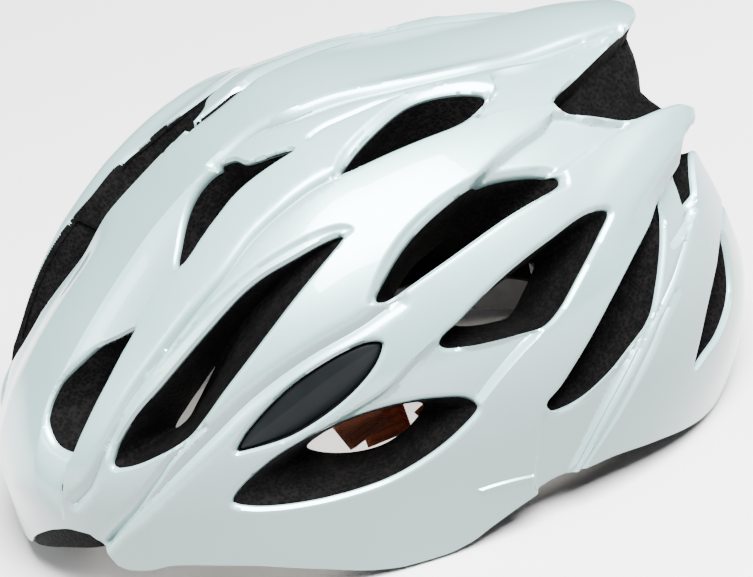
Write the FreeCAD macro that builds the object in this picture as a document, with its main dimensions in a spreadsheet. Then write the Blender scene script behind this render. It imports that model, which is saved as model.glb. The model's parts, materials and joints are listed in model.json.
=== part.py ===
import FreeCAD, Part
import Sketcher
import math
import os

# Ventilated cycling helmet: in-mould shell, foam liner, pads, strap set and a dial-adjusted fit system.
# Millimetres. +X is the wearer's left, -Y is forward, +Z is up. The helmet rests on z = 0.

os.makedirs("parts", exist_ok=True)
doc = FreeCAD.newDocument("helmet")
Vec = FreeCAD.Vector

# ---------------------------------------------------------------- driving dimensions

DIMENSIONS = {
    "half_width": 104.0,        # widest point of the shell, side to side, halved
    "front_reach": 146.5,       # origin to the brow
    "rear_reach": 147.5,        # origin to the back of the head
    "top_height": 155.5,        # floor to crown
    "waist_height": 45.5,       # below this the shell tucks in
    "shell_wall": 1.0,
    "liner_gap": 0.25,
    "liner_side": 25.0,         # foam thickness at the sides
    "liner_front": 37.0,        # foam thickness at the brow and the back
    "liner_top": 36.0,
    "rim_step": 0.7,            # how far the foam shows below the shell
    "rest_height": 1.0,         # the lowest parts of the foam edge are flat at this height
    "inlay_wall": 1.6,
    "inlay_depth": 2.4,
    "scoop_depth": 24.0,        # how far the opening under the tail is sunk
    "pad_wall": 6.0,
    "web_width": 18.0,
    "web_thick": 1.6,
    "pin_radius": 4.0,
    "pin_clearance": 0.05,
    "eye_radius": 1.8,
    "band_height": 14.0,
    "band_thick": 1.8,
    "dial_radius": 15.0,
    "dial_thick": 6.0,
    "pinion_radius": 4.7,
    "buckle_width": 24.0,
    "buckle_thick": 8.0,
}

sheet = doc.addObject("Spreadsheet::Sheet", "dims")
for row, (alias, value) in enumerate(DIMENSIONS.items(), start=1):
    sheet.set("A%d" % row, alias)
    sheet.set("B%d" % row, str(value))
    sheet.setAlias("B%d" % row, alias)
doc.recompute()


def dim(alias):
    return float(sheet.get(alias))


CENTRE = Vec(0, 2.25, 33.5)     # the point the vents are aimed from
FLAT_BELOW = 38.5               # the side walls stand upright below this height
SUBPARTS = []


def keep(obj, label):
    obj.Label = label
    SUBPARTS.append(obj)
    return obj


# ---------------------------------------------------------------- shape of the shell

# Centre line seen from the side: (distance behind the origin, height above the floor).
CROWN_LINE = [(-149, 2), (-146, 36), (-140, 54), (-126, 74), (-96, 103), (-69, 125), (-39, 143),
              (-11, 153), (17, 155.5), (57, 153.5), (92, 147.5), (122, 137.5), (133, 113.5),
              (142, 80.5), (148, 43.5)]

# Lower edge seen from the side, nose to tail.
RIM_LINE = [(-160, 6), (-146, 11), (-130, 15), (-118, 17), (-102, 20), (-78, 17.5), (-54, 10.5),
            (-31, 2.6), (-8, 0.7), (3, 2.1), (14, 6.5), (30, 12), (44, 15.5), (60, 15.7), (80, 11.8),
            (98, 6.1), (116, 1.6), (132, 0.9), (160, 9)]


def slope(points, k):
    """Slope at point k of a curve that never overshoots its points."""
    def rise(i):
        return (points[i + 1][1] - points[i][1]) / (points[i + 1][0] - points[i][0])
    if k == 0:
        return rise(0)
    if k == len(points) - 1:
        return rise(k - 1)
    before = rise(k - 1)
    after = rise(k)
    if before * after <= 0:
        return 0.0
    return 2 * before * after / (before + after)


def curve_height(points, y):
    """Smooth curve through the points, read at y."""
    y = min(max(y, points[0][0]), points[-1][0])
    k = 0
    while k < len(points) - 2 and y > points[k + 1][0]:
        k += 1
    (y0, z0), (y1, z1) = points[k], points[k + 1]
    span = y1 - y0
    t = (y - y0) / span
    start = (2 * t**3 - 3 * t**2 + 1) * z0 + (t**3 - 2 * t**2 + t) * span * slope(points, k)
    end = (3 * t**2 - 2 * t**3) * z1 + (t**3 - t**2) * span * slope(points, k + 1)
    return start + end


def inside_shell(x, y, z):
    """True when the point lies inside the outer shape of the helmet."""
    drop = max(0.0, (dim("waist_height") - z) / 52.0)
    tuck = 1 - 0.13 * drop**2.2 if y > 0 else 1 - 0.02 * drop**2
    reach = dim("rear_reach") if y > 0 else dim("front_reach")
    y = y / tuck
    x = abs(x) / (1 - 0.07 * drop**2)
    if abs(y) >= reach:
        return False
    width = dim("half_width") * (1 - (abs(y) / reach)**2.35)**(1 / 2.1)
    if x >= width:
        return False
    if z <= FLAT_BELOW:
        return True
    crown = curve_height(CROWN_LINE, y)
    if z >= crown:
        return False
    squareness = 2.3 + 0.5 * min(max(-y / 70, 0), 1) - 0.2 * min(max(y / 100, 0), 1)
    return z <= FLAT_BELOW + (crown - FLAT_BELOW) * (1 - (x / width)**squareness)**(1 / squareness)


def shrink(point, inset):
    """Moves a point of the outer shape towards the centre, by a different amount along each axis."""
    full = (dim("half_width"), dim("front_reach"), dim("top_height") - CENTRE.z)
    return Vec(*[CENTRE[i] + (point[i] - CENTRE[i]) * (full[i] - inset[i]) / full[i] for i in range(3)])


def level_ring(z, inset):
    """Closed horizontal outline of the shape at height z."""
    middle = CENTRE.y + 30 * max(0.0, z / dim("top_height"))**4
    points = []
    for k in range(36):
        turn = 2 * math.pi * (k + 0.5) / 36
        low = 0.0
        high = 200.0
        while high - low > 1e-6:
            half = (low + high) / 2
            if inside_shell(half * math.sin(turn), middle - half * math.cos(turn), z):
                low = half
            else:
                high = half
        points.append(shrink(Vec(low * math.sin(turn), middle - low * math.cos(turn), z), inset))
    outline = Part.BSplineCurve()
    outline.interpolate(points, PeriodicFlag=True)
    return Part.Wire([outline.toShape()])


LEVELS = [-60, -35, -10, 12, 32, 52, 72, 90, 106, 120, 132, 141.5, 148.5, 152.8, 154.9]
BUILT_DOMES = {}


def dome(inset_side, inset_front=None, inset_top=None):
    """Solid dome: the outer shape drawn in by the given distances."""
    inset = (inset_side, inset_front or inset_side, inset_top or inset_side)
    if inset not in BUILT_DOMES:
        rings = [level_ring(z, inset) for z in LEVELS]
        apex = Part.Vertex(shrink(Vec(0, 20, dim("top_height")), inset))
        BUILT_DOMES[inset] = Part.makeLoft(rings + [apex], True, False)
    return BUILT_DOMES[inset]


def cavity(extra=0.0):
    """The hollow for the head, made smaller by extra."""
    return dome(dim("liner_side") + extra, dim("liner_front") + extra, dim("liner_top") + extra)


# ---------------------------------------------------------------- openings

# Directions are written as a flat map of the dome, in degrees: (to the wearer's left, to the rear)
# of straight up, seen from CENTRE. Left-hand openings only; the right-hand ones are mirrored.
VENTS = {
    "brow_inner": [(27, -49), (30, -60), (30.5, -68), (28, -73), (24, -73), (20, -70.5), (17, -66),
                   (17, -60.5), (21, -55)],
    "crown_inner": [(23.5, -39.5), (23, -31), (21.5, -20), (19, -9), (15.5, -16), (12.5, -23),
                    (13.5, -30), (17.5, -36)],
    "brow_outer": [(40.5, -67.5), (46, -62), (50, -53), (50, -40), (47.5, -28), (43.5, -16),
                   (39, -7), (38.5, -20), (38.5, -40), (38.5, -56)],
    "crown_outer": [(29, -4.5), (25.5, 0), (21, 8), (17.5, 16), (17, 22), (19, 25.5), (23, 21.5),
                    (27, 10)],
    "upper_side": [(52, -6), (51, 1), (48, 10), (43.5, 20.5), (38, 30), (34, 35.5), (34.5, 28),
                   (37.5, 17), (42, 7), (47, -1)],
    "lower_side": [(64, -55), (66, -46), (69, -32), (72.5, -12), (75, 6), (77, 11), (80, 6), (84, -9),
                   (83.5, -24), (79, -38), (71, -49.5)],
    "mid_side": [(62, 4), (64.5, 11), (64.5, 19), (62, 27), (57, 33), (50, 38), (42, 43), (39.5, 42),
                 (45, 34), (52, 23), (58, 12)],
    "rear_side": [(35, 52.5), (41, 55.5), (48, 56), (55, 54.5), (62, 51), (69, 44), (75, 36), (78, 30),
                  (76, 29), (69, 34.5), (58, 41.5), (46, 48.5)],
    "tail_side": [(29, 69), (29.5, 74), (35, 77), (41, 78.5), (48, 76), (54, 72.5), (58, 70),
                  (50, 69.5), (39, 69.5)],
    "tail_upper": [(31, 59.5), (27, 57), (20, 58), (12, 61), (7, 64), (8, 66.5), (15, 66), (24, 63)],
}
TAIL_SCOOP = [(-3, 48), (8.5, 46), (14, 41), (21, 35), (24, 36.5), (24, 43), (21, 49), (12, 53.5),
              (-3, 55), (-6, 51.5)]
INLAY = [(59, -46), (57, -39), (57, -24), (58, -11), (60.5, -8.5), (63, -14), (64.5, -28), (62.5, -40)]
BROW_NOTCH = [(11, -96), (14, -92), (22, -87), (30, -85), (36, -85), (40, -89), (40, -100), (12, -104)]
PADS = {
    "brow_pad": [(0, -74), (30, -70), (50, -58), (60, -46), (66, -50), (56, -66), (36, -80), (0, -88),
                 (-36, -80), (-56, -66), (-66, -50), (-60, -46), (-50, -58), (-30, -70)],
    "crown_pad": [(7, -44), (8, -10), (8, 24), (0, 34), (-8, 24), (-8, -10), (-7, -44), (0, -48)],
    "rib_pad_left": [(30, -38), (35, -34), (35, -12), (36, 2), (31.5, 9), (29.5, 0), (31, -14)],
    "side_pad_left": [(50, -34), (57, -36), (61, -22), (60, -6), (54, -2), (50, -8), (50, -22)],
    "rear_pad": [(-16, 47), (0, 45), (16, 47), (21, 56), (14, 64), (-14, 64), (-21, 56)],
}


def direction(left, rear):
    """Unit vector for a place on the dome map."""
    tilt = math.radians(math.hypot(left, rear))
    turn = math.atan2(left, -rear)
    return Vec(math.sin(turn) * math.sin(tilt), -math.cos(turn) * math.sin(tilt), math.cos(tilt))


def mirrored(outline):
    return [(-left, rear) for left, rear in reversed(outline)]


def ray_cutter(outline, inner=30.0, outer=230.0):
    """Solid that widens from the centre outwards through a closed, rounded outline.

    Both ends are flat and square to the mean direction, at the given distances along it."""
    rays = [direction(*place) for place in outline]
    middle = Vec()
    for ray in rays:
        middle = middle + ray
    middle.normalize()
    wires = []
    for reach in (inner, outer):
        loop = Part.BSplineCurve()
        loop.interpolate([CENTRE + ray * (reach / ray.dot(middle)) for ray in rays], PeriodicFlag=True)
        wires.append(Part.Wire([loop.toShape()]))
    return Part.makeLoft(wires, True, True)


def rim_cutter(raise_by):
    """Everything below the lower edge, as one block across the helmet."""
    reach = 170.0
    count = 60
    edge = []
    for k in range(count + 1):
        y = -reach + 2 * reach * k / count
        edge.append(Vec(-150, y, curve_height(RIM_LINE, y) + raise_by))
    line = Part.BSplineCurve()
    line.interpolate(edge)
    low_back = Vec(-150, reach, -80)
    low_front = Vec(-150, -reach, -80)
    wire = Part.Wire([line.toShape(), Part.makeLine(edge[-1], low_back),
                      Part.makeLine(low_back, low_front), Part.makeLine(low_front, edge[0])])
    return Part.Face(wire).extrude(Vec(300, 0, 0))


def both_sides(outline):
    return [ray_cutter(outline), ray_cutter(mirrored(outline))]


def vent_cutters():
    cutters = []
    for outline in VENTS.values():
        cutters += both_sides(outline)
    return cutters


def shape_feature(label, shape):
    """A document object for a curved skin that no sketch feature can make."""
    obj = doc.addObject("Part::Feature", label)
    obj.Shape = shape
    return keep(obj, label)


def outer_shell():
    skin = dome(0).cut(dome(dim("shell_wall")))
    holes = vent_cutters() + both_sides(INLAY) + both_sides(BROW_NOTCH) + both_sides(TAIL_SCOOP)
    skin = skin.cut(rim_cutter(dim("rim_step"))).cut(holes)
    return shape_feature("outer_shell", skin)


def liner_pockets():
    """Pockets in the foam for the inlays, the temple anchors and the strap anchors."""
    under = dim("shell_wall") + dim("liner_gap") + dim("inlay_depth") + dim("inlay_wall")
    floor = dome(under)
    pockets = [cutter.cut(floor) for cutter in both_sides(INLAY)]
    pockets += [cutter.cut(dome(dim("scoop_depth"))) for cutter in both_sides(TAIL_SCOOP)]
    for side in (1, -1):
        pockets.append(temple_block(side, 0.2))
        for place in STRAP_PLACES.values():
            pockets.append(anchor_block(side, place, 0.2))
    return pockets


def eps_liner():
    foam = dome(dim("shell_wall") + dim("liner_gap")).cut(cavity())
    foam = foam.cut(rim_cutter(0.0)).cut(vent_cutters())
    below = Part.makeBox(400, 400, 100, Vec(-200, -200, dim("rest_height") - 100))
    foam = foam.cut(below)
    return shape_feature("eps_liner", foam.cut(liner_pockets()))


def layer_patch(label, outline, outer, inner):
    """A patch of constant-thickness sheet between two domes, bounded by an outline."""
    patch = outer.cut(inner).common(ray_cutter(outline))
    return shape_feature(label, patch)


def side_inlays():
    top = dim("shell_wall") + dim("liner_gap") + dim("inlay_depth") - 0.2
    trimmed = [(60.8 + (a - 60.8) * 0.9, -26 + (b + 26) * 0.96) for a, b in INLAY]
    for label, outline in (("side_inlay_left", trimmed), ("side_inlay_right", mirrored(trimmed))):
        layer_patch(label, outline, dome(top), dome(top + dim("inlay_wall")))


def comfort_pads():
    near = cavity(0.4)
    far = cavity(0.4 + dim("pad_wall"))
    for label, outline in PADS.items():
        layer_patch(label, outline, near, far)
        if label.endswith("_left"):
            layer_patch(label.replace("_left", "_right"), mirrored(outline), near, far)


# ---------------------------------------------------------------- primitives bound to the sheet

def box(name, size, corner, turn=None):
    """A box; sizes are numbers or sheet expressions."""
    obj = doc.addObject("Part::Box", name)
    for side, value in zip(("Length", "Width", "Height"), size):
        if isinstance(value, str):
            obj.setExpression(side, value)
        else:
            setattr(obj, side, value)
    obj.Placement = FreeCAD.Placement(Vec(*corner), turn or FreeCAD.Rotation())
    return obj


def rod(name, radius, length, base, axis):
    """A cylinder from base along axis; sizes are numbers or sheet expressions."""
    obj = doc.addObject("Part::Cylinder", name)
    for side, value in (("Radius", radius), ("Height", length)):
        if isinstance(value, str):
            obj.setExpression(side, value)
        else:
            setattr(obj, side, value)
    obj.Placement = FreeCAD.Placement(Vec(*base), FreeCAD.Rotation(Vec(0, 0, 1), Vec(*axis)))
    return obj


def joined(name, shapes):
    obj = doc.addObject("Part::MultiFuse", name)
    obj.Shapes = shapes
    return obj


def cut(name, base, tool):
    obj = doc.addObject("Part::Cut", name)
    obj.Base = base
    obj.Tool = tool
    return obj


def grouped(name, shapes):
    obj = doc.addObject("Part::Compound", name)
    obj.Links = shapes
    return obj


# ---------------------------------------------------------------- straps

STRAP_PLACES = {"front": (72.0, -26.0, 60.0), "rear": (69.5, 40.0, 54.0)}
DIVIDER = (54.0, -8.0, 18.0)
CHIN_TOP = (42.0, -12.0, 70.0)
SIDES = ((1, "left"), (-1, "right"))


def span(side, start, finish):
    """Low end and length of an interval given outwards from the middle plane."""
    return (start if side > 0 else -finish), finish - start


def anchor_block(side, place, clearance):
    """Block for one strap anchor, grown by clearance."""
    length = 9.0 + clearance * 2
    width = 22.0 + clearance * 2
    block = Part.makeBox(length, width, length)
    block.translate(Vec(side * place[0] - length / 2, place[1] - width / 2, place[2] - length / 2))
    return block


def strap_anchors():
    for side, word in SIDES:
        for end, (x, y, z) in STRAP_PLACES.items():
            name = "strap_anchor_%s_%s" % (end, word)
            keep(box(name, (9.0, 22.0, 9.0), (side * x - 4.5, y - 11, z - 4.5)), name)


def strip(name, start, finish, trim_finish):
    """Straight run of webbing between two points, its wide side facing the head."""
    a = Vec(*start)
    b = Vec(*finish)
    run = (b - a).normalize()
    length = (b - a).Length - trim_finish
    across = Vec(1 if a.x > 0 else -1, 0, 0).cross(run).normalize()
    normal = run.cross(across)
    turn = FreeCAD.Rotation(run, across, normal, "XYZ")
    corner = a - across * (dim("web_width") / 2) - normal * (dim("web_thick") / 2)
    return box(name, (length, "dims.web_width", "dims.web_thick"), tuple(corner), turn)


def straps():
    for side, word in SIDES:
        for end, (x, y, z) in STRAP_PLACES.items():
            name = "%s_strap_%s" % (end, word)
            lean = -4 if end == "front" else 4
            foot = (side * DIVIDER[0], DIVIDER[1] + lean, DIVIDER[2] + 5)
            keep(strip(name, (side * (x - 6.5), y, z - 1), foot, 13.0), name)
        name = "chin_strap_" + word
        foot = (side * (DIVIDER[0] - 5), DIVIDER[1], DIVIDER[2] + 8)
        top = (side * CHIN_TOP[0], CHIN_TOP[1], CHIN_TOP[2])
        keep(strip(name, foot, top, 0.0), name)


def dividers():
    """Strap dividers, each with a cam lever on the side that faces the head."""
    across, y, z = DIVIDER
    for side, word in SIDES:
        low, length = span(side, across - 2.0, across + 2.0)
        plate = box("divider_plate_" + word, (length, 30.0, 14.0), (low, y - 15, z - 9))
        low, length = span(side, across - 4.4, across + 1.0)
        ears = [box("divider_ear_%s_%d" % (word, k), (length, 2.0, 7.0), (low, y - 11 + 20 * k, z - 8))
                for k in (0, 1)]
        hinge = side * (across - 2.9)
        bore = rod("divider_bore_" + word, 1.05, 30.0, (hinge, y - 15, z - 4.5), (0, 1, 0))
        name = "strap_divider_" + word
        keep(cut(name, joined("divider_body_" + word, [plate] + ears), bore), name)
        low, length = span(side, across - 3.5, across - 2.3)
        flap = box("lever_flap_" + word, (length, 17.0, 11.0), (low, y - 8.5, z - 5.0))
        pin = rod("lever_pin_" + word, 1.0, 22.0, (hinge, y - 11, z - 4.5), (0, 1, 0))
        name = "divider_lever_" + word
        keep(joined(name, [flap, pin]), name)


def buckle_socket():
    """Receiving half of the side-release buckle."""
    x, y, z = CHIN_TOP
    low = z + 1.0
    hull = box("buckle_hull", ("dims.buckle_thick", "dims.buckle_width", 22.0),
               (x - dim("buckle_thick") / 2, y - dim("buckle_width") / 2, low))
    mouth = box("buckle_mouth", (4.4, 17.0, 18.0), (x - 2.2, y - 8.5, low + 5))
    windows = box("buckle_windows", (5.4, 40.0, 8.0), (x - 2.7, y - 20, low + 6))
    keep(cut("buckle_socket", hull, joined("buckle_voids", [mouth, windows])), "buckle_socket")


def buckle_clip():
    """Plug half of the buckle with its two squeeze prongs."""
    x, y, z = CHIN_TOP
    low = z + 1.0
    half = dim("buckle_width") / 2
    base = box("clip_base", (6.0, "dims.buckle_width", 8.0), (-x - 3, y - half, low))
    guide = box("clip_guide", (3.0, 4.0, 20.0), (-x - 1.5, y - 2, low + 7))
    cheeks = [box("clip_cheek_%d" % k, (1.2, 7.0, 6.0), (-x - 3 + 4.8 * (k % 2), y - 12 + 17 * (k // 2), low + 7))
              for k in range(4)]
    bores = [rod("prong_bore_%d" % k, 1.05, 10.0, (-x - 5, y - 8.5 + 17 * k, low + 10), (1, 0, 0))
             for k in (0, 1)]
    body = joined("clip_body", [base, guide] + cheeks)
    keep(cut("buckle_clip", body, joined("clip_bores", bores)), "buckle_clip")
    for side, word in ((-1, "front"), (1, "rear")):
        place = y + side * 8.5
        arm = box("prong_arm_" + word, (2.8, 2.6, 15.0), (-x - 1.4, place - 1.3, low + 8.6))
        barb_low = place if side > 0 else place - 3.2
        barb = box("prong_barb_" + word, (2.8, 3.2, 5.0), (-x - 1.4, barb_low, low + 17))
        pin = rod("prong_pin_" + word, 1.0, 6.0, (-x - 3, place, low + 10), (1, 0, 0))
        name = "buckle_prong_" + word
        keep(joined(name, [arm, barb, pin]), name)


# ---------------------------------------------------------------- fit system

TEMPLE = (65.5, -22.0, 20.0)    # hinge of one half of the band
DIAL = (0.0, 82.1, 20.0)        # where the two halves cross at the back
BAND_PATH = [(65.5, -19.5), (67, 5), (64, 31), (55, 55.5), (38, 74), (25, 80.2), (19, 81.5)]
RACK_REACH = 7.0                # how far each rack passes the middle
RACK_GAP = 0.3                  # space between rack and pinion


def temple_block(side, clearance):
    """Block that holds the hinge of the band, grown by clearance."""
    length = 9.0 + clearance * 2
    width = 16.0 + clearance * 2
    block = Part.makeBox(length, width, width)
    block.translate(Vec(side * 77.5 - length / 2, TEMPLE[1] - width / 2, TEMPLE[2] - width / 2))
    return block


def temple_hinges():
    """Sockets in the foam and the swivels that tilt in them."""
    x, y, z = TEMPLE
    for side, word in SIDES:
        block = box("temple_block_" + word, (9.0, 16.0, 16.0), (side * 77.5 - 4.5, y - 8, z - 8))
        bore = rod("temple_bore_" + word, "dims.pin_radius + dims.pin_clearance", 7.0,
                   (side * 72.9, y, z), (side, 0, 0))
        name = "temple_anchor_" + word
        keep(cut(name, block, bore), name)
        stud = rod("swivel_stud_" + word, "dims.pin_radius", 8.6, (side * 70.6, y, z), (side, 0, 0))
        low, length = span(side, 69.6, 72.6)
        bar = box("swivel_bar_" + word, (length, 6.0, 24.0), (low, y - 3, z - 12))
        low, length = span(side, 62.5, 71.0)
        jaws = [box("swivel_jaw_%s_%d" % (word, k), (length, 6.0, 4.4), (low, y - 3, z - 12 + 19.6 * k))
                for k in (0, 1)]
        pin = rod("swivel_pin_" + word, "dims.eye_radius", 22.0, (side * x, y, z - 11), (0, 0, 1))
        name = "swivel_" + word
        keep(joined(name, [stud, bar, pin] + jaws), name)


def band_outline(side):
    """Plan of the band: a ribbon of constant thickness along its path."""
    half = dim("band_thick") / 2
    middle = Part.BSplineCurve()
    middle.interpolate([Vec(side * x, y, 0) for x, y in BAND_PATH])
    count = 24
    edges = []
    for offset in (half, -half):
        points = []
        for k in range(count + 1):
            t = middle.FirstParameter + (middle.LastParameter - middle.FirstParameter) * k / count
            along = middle.tangent(t)[0]
            points.append(middle.value(t) + Vec(-along.y, along.x, 0) * offset)
        edges.append(points)
    outer = Part.BSplineCurve()
    outer.interpolate(edges[0])
    inner = Part.BSplineCurve()
    inner.interpolate(edges[1])
    ends = [Part.makeLine(edges[0][-1], edges[1][-1]), Part.makeLine(edges[1][0], edges[0][0])]
    return Part.Wire([outer.toShape(), ends[0], inner.toShape(), ends[1]])


def band_half(side, word):
    """One half of the head band: eye at the temple, rack tongue at the back."""
    x, y, z = TEMPLE
    high = dim("band_height")
    band = Part.Face(band_outline(side)).extrude(Vec(0, 0, high))
    band.translate(Vec(0, 0, z - high / 2))
    eye = Part.makeCylinder(3.3, high, Vec(side * x, y, z - high / 2))
    tongue_low, tongue_length = span(side, -RACK_REACH, 23.0)
    gap = dim("pinion_radius") + RACK_GAP
    tongue_z = z + gap if side > 0 else z - gap - 4.0
    tongue = Part.makeBox(tongue_length, 1.8, 4.0, Vec(tongue_low, DIAL[1] - 0.9, tongue_z))
    bore = Part.makeCylinder(dim("eye_radius") + dim("pin_clearance"), high + 2, Vec(side * x, y, z - high / 2 - 1))
    shape = band.fuse([eye, tongue]).removeSplitter().cut(bore)
    shape_feature("band_" + word, shape)


def rear_cradle():
    """Housing at the back: base towards the head, cover towards the dial, channel between."""
    x, y, z = DIAL
    base = box("cradle_base", (32.0, 9.0, 26.0), (x - 16, y - 4.6, z - 13))
    channel = box("cradle_channel", (40.0, 4.7, 19.2), (x - 20, y - 2.35, z - 9.6))
    shaft = rod("cradle_shaft_bore", 2.55, 20.0, (x, y, z), (0, 1, 0))
    holes = [rod("cradle_hole_%d" % k, 1.2, 20.0, (x - 13 + 26 * (k % 2), y - 10, z - 11.3 + 22.6 * (k // 2)),
                 (0, 1, 0)) for k in range(4)]
    wing = box("cradle_wing", (56.0, 2.0, 10.0), (x - 28, y - 6.8, z + 13))
    neck = box("cradle_neck", (20.0, 4.6, 12.0), (x - 10, y - 6.8, z + 8))
    housing = joined("cradle_body", [base, wing, neck])
    keep(cut("rear_cradle", housing, joined("cradle_voids", [channel, shaft] + holes)), "rear_cradle")
    screws = []
    for k in range(4):
        place = (x - 13 + 26 * (k % 2), y - 4.5, z - 11.3 + 22.6 * (k // 2))
        shank = rod("screw_shank_%d" % k, 1.1, 9.0, place, (0, 1, 0))
        head = rod("screw_head_%d" % k, 1.9, 0.4, (place[0], y + 4.4, place[2]), (0, 1, 0))
        screws.append(joined("screw_%d" % k, [shank, head]))
    keep(grouped("cradle_screws", screws), "cradle_screws")
    pads = [box("cradle_pad_%d" % k, (20.0, 3.0, 9.0), (x - 27 + 34 * k, y - 10.0, z + 13.5)) for k in (0, 1)]
    keep(grouped("cradle_pads", pads), "cradle_pads")


def sketch_on(body, name, plane, offset):
    """Sketch on one of the body's own origin planes."""
    drawing = body.newObject("Sketcher::SketchObject", name)
    for feature in body.Origin.OriginFeatures:
        if feature.Role == plane:
            drawing.AttachmentSupport = [(feature, "")]
    drawing.MapMode = "FlatFace"
    drawing.AttachmentOffset = FreeCAD.Placement(Vec(0, 0, offset), FreeCAD.Rotation())
    return drawing


def padded_disc(body, name, radius, length, offset):
    """Round pad; radius and length are sheet expressions."""
    drawing = sketch_on(body, name + "_sketch", "XY_Plane", offset)
    drawing.addGeometry(Part.Circle(Vec(0, 0, 0), Vec(0, 0, 1), 5.0), False)
    drawing.addConstraint(Sketcher.Constraint("Coincident", 0, 3, -1, 1))
    index = drawing.addConstraint(Sketcher.Constraint("Radius", 0, 5.0))
    drawing.setExpression("Constraints[%d]" % index, radius)
    pad = body.newObject("PartDesign::Pad", name)
    pad.Profile = drawing
    pad.setExpression("Length", length)
    doc.recompute()
    return pad


def dial_knob():
    """Ribbed thumb dial with its shaft, turned about its own Z and laid along +Y."""
    body = doc.addObject("PartDesign::Body", "dial_knob")
    padded_disc(body, "dial_disc", "dims.dial_radius", "dims.dial_thick", 4.9)
    padded_disc(body, "dial_shaft", "2.5 mm", "4.6 mm", 2.4)
    notch = sketch_on(body, "dial_notch_sketch", "XY_Plane", 4.9 + dim("dial_thick"))
    notch.addGeometry(Part.Circle(Vec(dim("dial_radius") + 0.8, 0, 0), Vec(0, 0, 1), 1.6), False)
    pocket = body.newObject("PartDesign::Pocket", "dial_notch")
    pocket.Profile = notch
    pocket.Length = dim("dial_thick") - 1.2
    doc.recompute()
    ring = body.newObject("PartDesign::PolarPattern", "dial_notches")
    ring.Originals = [pocket]
    ring.Axis = (notch, ["N_Axis"])
    ring.Angle = 360
    ring.Occurrences = 24
    body.Tip = ring
    body.Placement = FreeCAD.Placement(Vec(*DIAL), FreeCAD.Rotation(Vec(0, 0, 1), Vec(0, 1, 0)))
    keep(body, "dial_knob")


def pinion():
    """Drive wheel between the two racks."""
    body = doc.addObject("PartDesign::Body", "dial_pinion")
    padded_disc(body, "pinion_disc", "dims.pinion_radius", "4.2 mm", -2.0)
    body.Placement = FreeCAD.Placement(Vec(*DIAL), FreeCAD.Rotation(Vec(0, 0, 1), Vec(0, 1, 0)))
    keep(body, "dial_pinion")


# ---------------------------------------------------------------- build, check, write

outer_shell()
eps_liner()
side_inlays()
comfort_pads()
strap_anchors()
straps()
dividers()
buckle_socket()
buckle_clip()
temple_hinges()
for side, word in SIDES:
    band_half(side, word)
rear_cradle()
dial_knob()
pinion()
doc.recompute()

for obj in doc.Objects:
    if "Invalid" in obj.State or "Error" in obj.State:
        raise RuntimeError("%s did not build: %s" % (obj.Name, obj.State))
for obj in SUBPARTS:
    if obj.Shape.isNull() or not obj.Shape.isValid() or obj.Shape.Volume <= 0:
        raise RuntimeError("%s has no valid shape" % obj.Label)
for obj in SUBPARTS:
    obj.Shape.exportStep("parts/%s.step" % obj.Label)
    size = obj.Shape.BoundBox
    print("%-26s %2d solid(s) %10.0f mm3  x %6.1f..%6.1f  y %6.1f..%6.1f  z %6.1f..%6.1f" % (
        obj.Label, len(obj.Shape.Solids), obj.Shape.Volume,
        size.XMin, size.XMax, size.YMin, size.YMax, size.ZMin, size.ZMax))
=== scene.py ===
import json
import math
import bmesh
import bpy
import numpy as np
from mathutils import Matrix, Vector
from mathutils.geometry import delaunay_2d_cdt


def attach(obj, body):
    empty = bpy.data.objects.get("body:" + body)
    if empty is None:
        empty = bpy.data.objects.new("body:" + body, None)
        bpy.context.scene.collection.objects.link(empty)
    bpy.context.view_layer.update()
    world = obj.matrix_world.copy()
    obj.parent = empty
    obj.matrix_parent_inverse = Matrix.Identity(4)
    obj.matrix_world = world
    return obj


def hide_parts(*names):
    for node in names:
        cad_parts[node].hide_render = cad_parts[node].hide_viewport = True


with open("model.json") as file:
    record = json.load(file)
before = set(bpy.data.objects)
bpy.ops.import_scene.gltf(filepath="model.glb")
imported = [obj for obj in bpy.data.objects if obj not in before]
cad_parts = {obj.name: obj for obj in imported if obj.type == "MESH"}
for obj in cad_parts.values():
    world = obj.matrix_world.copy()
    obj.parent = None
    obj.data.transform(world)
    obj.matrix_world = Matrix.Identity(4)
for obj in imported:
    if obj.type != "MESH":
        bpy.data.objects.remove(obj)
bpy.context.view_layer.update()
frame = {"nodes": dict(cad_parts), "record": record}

NODES = frame["nodes"]

# The shape is worked out in millimetres and built in metres.
# A place on the helmet is a pair of degrees on a flat map of the dome:
# (towards the wearer's left, towards the rear) of straight up, seen from CENTRE.

CENTRE = np.array([0.0, 2.25, 33.5])
HALF_WIDTH = 104.0
FRONT_REACH = 146.5
REAR_REACH = 147.5
TOP_HEIGHT = 155.5
WAIST = 45.5
FLAT_BELOW = 38.5
SHELL_WALL = 1.0
FOAM_GAP = 0.3              # between the shell and the foam under it
LINER_SIDE, LINER_FRONT, LINER_TOP = 25.0, 37.0, 36.0

# Mesh spacing on the flat map in degrees: on plain areas, and beside edges and creases.
SHELL_SPACING, SHELL_FINE = 0.95, 0.36
LINER_SPACING, LINER_FINE = 1.8, 0.7


# ------------------------------------------------------------------ camera

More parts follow.
